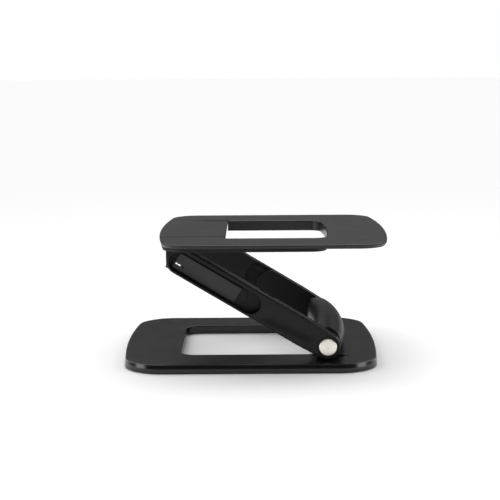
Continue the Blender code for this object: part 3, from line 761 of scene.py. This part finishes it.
def buildShell(values, side, sign):
    inner, outer = facesOf("arm_shell_" + side, sign)

    def windowAt(grow):
        return stadium(-armReach, values["windowEnd"], values["windowRadius"] + grow, y=values["windowMiddle"])

    def seatAt(grow):
        return circle(0, 0, values["capSeat"] + grow, 64)

    def outlineAt(grow):
        return armOutline(values, -armReach, grow)

    rings = sideRings(outlineAt, roundedLevels(inner, outer, values["edgeRound"]))
    shell = newPiece("armShell." + side, skin(rings), "arm_black", armPlace)
    windowStart = inner - sign * values["cutPast"]
    carve(shell, [cutterAcross("window", windowAt, windowStart, outer, values["windowRound"]),
                  cutterAcross("seat", seatAt, outer - sign * values["capSeatDepth"], outer,
                               values["capSeatRound"]),
                  scoopCutter(scoop, outer, sign)])
    finishPiece(shell, "arm", "arm_black", ["arm_shell_" + side], sharp=32)


def buildCovers(values, side, sign):
    inner, outer = facesOf("arm_lower_cover_" + side, sign)
    half, soft = values["half"], values["mouthRound"]

    def mouthAt(x):
        return lambda grow: circle(x, 0, values["jointRoom"] + grow, 64)

    def upperAt(grow):
        points = arc(-armReach, 0.0, half + grow, 90, 270, 32)
        bite = arc(values["upperEnd"] + half, 0.0, half * sqrt(2) - grow, 225, 135, 20)
        return points + [(x, max(-half - grow, min(half + grow, z))) for x, z in bite]

    def roomCutter(x0, x1):
        room = values["jointRoom"]
        outline = [(x0, -room), (x1, -room), (x1, room), (x0, room)]
        start, end = inner + sign * values["coverWall"], outer + sign * values["cutPast"]
        return newPiece("room", slab(outline, start, end), None, armPlace)

    levels = roundedLevels(outer, inner, values["coverRound"])
    rings = sideRings(lambda grow: armOutline(values, values["nose"] + half, grow), levels)
    lower = newPiece("armLowerCover." + side, skin(rings), "arm_black", armPlace)
    carve(lower, [roomCutter(*values["lowerRoom"]), cutterAcross("mouth", mouthAt(0.0), outer, inner, soft)])
    finishPiece(lower, "arm", "arm_black", ["arm_lower_cover_" + side], sharp=42)
    upper = newPiece("armUpperCover." + side, skin(sideRings(upperAt, levels)), "arm_black", armPlace)
    carve(upper, [roomCutter(-armReach - values["upperRoomPast"], values["upperRoomEnd"]),
                  cutterAcross("mouth", mouthAt(-armReach), outer, inner, soft)])
    finishPiece(upper, "arm", "arm_black", ["arm_upper_cover_" + side], sharp=42)


channel = {"low": -20.5, "high": 13.5, "start": 9.0, "slant": 3.0, "end": -220.0, "edgeRound": 0.35,
           "eyeGap": 4.6, "eyeRadius": 2.2, "eyeHalf": 1.0, "eyeInset": 1.2, "eyeDrop": -10.6, "eyeRound": 0.3,
           "linerHalf": 17.5, "linerEnd": -200.0, "linerStart": 26.0, "linerRound": 0.5,
           "rivet": 2.2, "rivetPlace": 12.5, "cutPast": 5.0}


def buildChannel(values, side, sign):
    inner, outer = facesOf("channel_plate_" + side, sign)
    start = -armReach - values["start"]
    outline = [(start, values["low"]), (values["end"], values["low"]), (values["end"], values["high"]),
               (start + values["slant"], values["high"])]
    plate = newPiece("channelPlate." + side, slab(outline, inner, outer), "channel_grey", armPlace)

    eyeHalf, eyeStart = values["eyeHalf"], inner - sign * values["cutPast"]

    def eyeAt(x):
        return lambda grow: stadium(x - eyeHalf, x + eyeHalf, values["eyeRadius"] + grow, 12, values["eyeDrop"])

    aside = values["eyeGap"] / 2 + values["eyeInset"]
    carve(plate, [cutterAcross("eye", eyeAt(x), eyeStart, outer, values["eyeRound"])
                  for x in (-armReach - aside, -armReach + aside)])
    finishPiece(plate, "arm", "channel_grey", ["channel_plate_" + side], edge=values["edgeRound"])

    rivet = skin([[(x - armReach + values["rivetPlace"], outer + sign * h, z + values["eyeDrop"])
                   for x, z in circle(0, 0, values["rivet"] * w, 24)]
                  for h, w in ((-0.2, 1.0), (0.5, 1.0), (0.9, 0.8), (1.15, 0.45))])
    finishPiece(newPiece("channelRivet." + side, rivet, "frame_black", armPlace), "arm", "frame_black")

    inner, outer = facesOf("channel_liner_" + side, sign)
    half, middle = values["linerHalf"], arm["windowMiddle"]
    outline = [(-armReach + values["linerStart"], middle - half)]
    outline += arc(values["linerEnd"] - half, middle, half, -90, 90, 24)
    outline += [(-armReach + values["linerStart"], middle + half)]
    liner = newPiece("channelLiner." + side, slab(outline, inner, outer), "frame_black", armPlace)
    finishPiece(liner, "arm", "frame_black", ["channel_liner_" + side], edge=values["linerRound"])


cap = {"radius": 19.0, "dot": 1.7, "crown": 0.5, "rim": 1.1}


def buildCap(values, side, sign):
    inner, outer = facesOf("pivot_cap_" + side, sign)
    radius, dot, rim, crown = (values[k] for k in ("radius", "dot", "rim", "crown"))
    # radius and height over the outer face, from the dot in the middle out to the rim
    profile = [(dot * 0.2, -1.6), (dot * 0.9, -1.6), (dot, -1.3), (dot, -0.25), (dot + 0.35, 0.0)]
    profile += [(dot + (radius - rim - dot) * k / 10, -crown * (k / 10) ** 2) for k in range(2, 11)]
    profile += [(radius - 0.3, -crown - rim * 0.6), (radius, -crown - rim * 1.2),
                (radius, inner * sign - outer * sign)]
    rings = [[(x, outer + sign * drop, z) for x, z in circle(0, 0, r, 96)] for r, drop in profile]
    piece = newPiece("pivotCap." + side, skin(rings), "turned_steel", armPlace)
    finishPiece(piece, "arm", "turned_steel", ["pivot_cap_" + side], sharp=50)


for sideName, sideSign in sides:
    buildShell(arm, sideName, sideSign)
    buildCovers(arm, sideName, sideSign)
    buildChannel(channel, sideName, sideSign)
    buildCap(cap, sideName, sideSign)
print("arm built")


def newTree(name, inputs):
    tree = bpy.data.node_groups.new(name, "GeometryNodeTree")
    tree.interface.new_socket("Geometry", in_out="INPUT", socket_type="NodeSocketGeometry")
    for title, kind, value in inputs:
        made = tree.interface.new_socket(title, in_out="INPUT", socket_type="NodeSocket" + kind)
        if kind != "Material":
            made.default_value = value
    tree.interface.new_socket("Geometry", in_out="OUTPUT", socket_type="NodeSocketGeometry")
    return tree, tree.nodes.new("NodeGroupInput"), tree.nodes.new("NodeGroupOutput")


# The last steps of every tree: real geometry and the finish.
def closeTree(tree, start, end, source):
    realize = tree.nodes.new("GeometryNodeRealizeInstances")
    coat = tree.nodes.new("GeometryNodeSetMaterial")
    tree.links.new(source, realize.inputs[0])
    tree.links.new(realize.outputs[0], coat.inputs["Geometry"])
    tree.links.new(start.outputs["Finish"], coat.inputs["Material"])
    tree.links.new(coat.outputs[0], end.inputs[0])


def times(tree, source, factor):
    made = node(tree, "ShaderNodeMath", operation="MULTIPLY")
    made.inputs[1].default_value = factor
    tree.links.new(source, made.inputs[0])
    return made.outputs[0]


# A round head with a softened crown and, where Drive is over zero, a six-sided socket, at every point.
def headTree():
    tree, start, end = newTree("roundHeads", [
        ("Radius", "Float", 0.004), ("Height", "Float", 0.0025), ("Drive", "Float", 0.002),
        ("Finish", "Material", None)])
    body = node(tree, "GeometryNodeMeshCylinder", Vertices=40)
    tree.links.new(start.outputs["Radius"], body.inputs["Radius"])
    tree.links.new(times(tree, start.outputs["Height"], 0.6), body.inputs["Depth"])
    mesh, top = body.outputs["Mesh"], body.outputs["Top"]
    for rise, scale in ((0.2, 0.97), (0.13, 0.9), (0.07, 0.78)):
        grow = node(tree, "GeometryNodeExtrudeMesh", mode="FACES")
        shrink = node(tree, "GeometryNodeScaleElements", domain="FACE", Scale=scale)
        tree.links.new(mesh, grow.inputs["Mesh"])
        tree.links.new(top, grow.inputs["Selection"])
        tree.links.new(times(tree, start.outputs["Height"], rise), grow.inputs["Offset Scale"])
        tree.links.new(grow.outputs["Mesh"], shrink.inputs["Geometry"])
        tree.links.new(grow.outputs["Top"], shrink.inputs["Selection"])
        mesh, top = shrink.outputs["Geometry"], grow.outputs["Top"]
    socket = node(tree, "GeometryNodeMeshCylinder", Vertices=6)
    tree.links.new(start.outputs["Drive"], socket.inputs["Radius"])
    tree.links.new(start.outputs["Height"], socket.inputs["Depth"])
    lift = tree.nodes.new("GeometryNodeTransform")
    place = tree.nodes.new("ShaderNodeCombineXYZ")
    tree.links.new(times(tree, start.outputs["Height"], 0.7), place.inputs["Z"])
    tree.links.new(socket.outputs["Mesh"], lift.inputs["Geometry"])
    tree.links.new(place.outputs[0], lift.inputs["Translation"])
    hollow = node(tree, "GeometryNodeMeshBoolean", operation="DIFFERENCE", solver="EXACT")
    tree.links.new(mesh, hollow.inputs["Mesh 1"])
    tree.links.new(lift.outputs[0], hollow.inputs["Mesh 2"])
    spread = tree.nodes.new("GeometryNodeInstanceOnPoints")
    tree.links.new(start.outputs["Geometry"], spread.inputs["Points"])
    tree.links.new(hollow.outputs["Mesh"], spread.inputs["Instance"])
    closeTree(tree, start, end, spread.outputs[0])
    return tree


# A coil of round wire about its own Z axis, one at every point, that axis laid along Y.
def coilTree():
    tree, start, end = newTree("coil", [
        ("Turns", "Float", 7.0), ("Coil radius", "Float", 0.013), ("Wire radius", "Float", 0.0018),
        ("Length", "Float", 0.05), ("Finish", "Material", None)])
    spiral = node(tree, "GeometryNodeCurveSpiral", Resolution=40)
    for title, socketNames in (("Turns", ("Rotations",)), ("Coil radius", ("Start Radius", "End Radius")),
                               ("Length", ("Height",))):
        for socketName in socketNames:
            tree.links.new(start.outputs[title], spiral.inputs[socketName])
    wire = node(tree, "GeometryNodeCurvePrimitiveCircle", mode="RADIUS", Resolution=12)
    tree.links.new(start.outputs["Wire radius"], wire.inputs["Radius"])
    sweep = node(tree, "GeometryNodeCurveToMesh")
    sweep.inputs["Fill Caps"].default_value = True
    tree.links.new(spiral.outputs[0], sweep.inputs["Curve"])
    tree.links.new(wire.outputs[0], sweep.inputs["Profile Curve"])
    spread = tree.nodes.new("GeometryNodeInstanceOnPoints")
    spread.inputs["Rotation"].default_value = (radians(-90), 0, 0)
    tree.links.new(start.outputs["Geometry"], spread.inputs["Points"])
    tree.links.new(sweep.outputs[0], spread.inputs["Instance"])
    closeTree(tree, start, end, spread.outputs[0])
    return tree


# Runs a tree on points in metres and keeps the result as one plain mesh.
def grown(name, tree, points, settings):
    data = bpy.data.meshes.new(name)
    data.from_pydata([tuple(p) for p in points], [], [])
    piece = bpy.data.objects.new(name, data)
    bpy.context.collection.objects.link(piece)
    step = piece.modifiers.new(tree.name, "NODES")
    step.node_group = tree
    ids = {item.name: item.identifier for item in tree.interface.items_tree if item.in_out == "INPUT"}
    for title, value in settings.items():
        step[ids[title]] = value
    return applyAll(piece)


def middleOf(name):
    low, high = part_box(name)
    return (Vector(low) + Vector(high)) / 2


# Lengths in metres; screwSink is a share of the head's height.
small = {"screwDrive": 0.0022, "screwSink": 0.2, "springTurns": 7.0, "wire": 0.0018}
heads, coil = headTree(), coilTree()


def buildHeads(name, body, slot, nodes, drive):
    low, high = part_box(nodes[0])
    radius, height = (high[0] - low[0]) / 2, high[2] - low[2]
    points = [middleOf(part) - Vector((0, 0, height * small["screwSink"])) for part in nodes]
    settings = {"Radius": radius, "Height": height, "Drive": drive, "Finish": finishes[slot]}
    finishPiece(grown(name, heads, points, settings), body, slot, nodes, sharp=45)


for headsName, bodyName, nodeName in (("hubScrews", "base", "hub_screw_"),
                                      ("bracketScrews", "platform", "bracket_screw_")):
    screws = [nodeName + str(k) for k in range(1, 5)]
    buildHeads(headsName, bodyName, "plain_steel", screws, small["screwDrive"])
for sideName, sideSign in sides:
    spring = "torsion_spring_" + sideName
    boxLow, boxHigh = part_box(spring)
    wireRadius = small["wire"]
    coilRadius = (boxHigh[0] - boxLow[0]) / 2 - wireRadius
    coilLength = boxHigh[1] - boxLow[1] - 2 * wireRadius
    startPoint = (lowerPivot.x, boxLow[1] + wireRadius, lowerPivot.z)
    coilSettings = {"Turns": small["springTurns"], "Coil radius": coilRadius, "Wire radius": wireRadius,
                    "Length": coilLength, "Finish": finishes["spring_steel"]}
    piece = grown("torsionSpring." + sideName, coil, [startPoint], coilSettings)
    finishPiece(piece, "base", "spring_steel", [spring], sharp=60)
print("screws and springs built")
